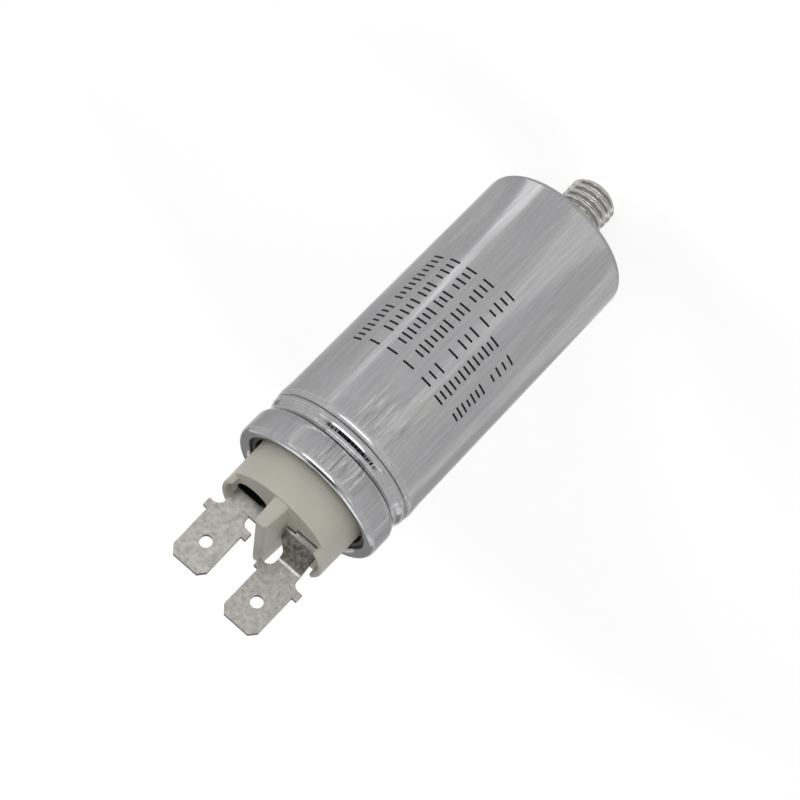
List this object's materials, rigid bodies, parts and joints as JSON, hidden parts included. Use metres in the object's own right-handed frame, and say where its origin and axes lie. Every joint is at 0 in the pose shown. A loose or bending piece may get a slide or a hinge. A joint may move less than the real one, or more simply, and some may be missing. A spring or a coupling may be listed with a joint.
{
  "type": "motor start capacitor",
  "caption": "Cylindrical aluminium motor capacitor with a threaded mounting stud, a rolled rim and a moulded deck that carries push-on blade terminals beside a partition.",
  "frame": {"origin": "on the can's axis, in the plane of the can's base where it seats round the stud", "axes": "+Z along the can's axis from the stud to the terminals, +X along the blades' width towards the terminal that leans, -Y towards the front of the blades"},
  "size_m": [0.0252, 0.0252, 0.0868],
  "materials": {
    "can_aluminium": "satin, drawn",
    "inner_plastic": "matte",
    "sprayed_metal": "rough sprayed",
    "metallised_film": "glossy",
    "lead_brass": "satin",
    "seal_rubber": "matte",
    "deck_plastic": "satin",
    "tinned_terminal": "satin tinned"
  },
  "bodies": {
    "root": {"can": "can_aluminium", "insulating_disc": "inner_plastic", "lower_end_contact": "sprayed_metal", "winding": "metallised_film", "core_tube": "inner_plastic", "upper_end_contact": "sprayed_metal", "insulating_sleeve": "inner_plastic", "long_lead": "lead_brass", "short_lead": "lead_brass", "sealing_ring": "seal_rubber", "terminal_deck": "deck_plastic", "terminal_right": "tinned_terminal", "terminal_left": "tinned_terminal"}
  },
  "joints": []
}
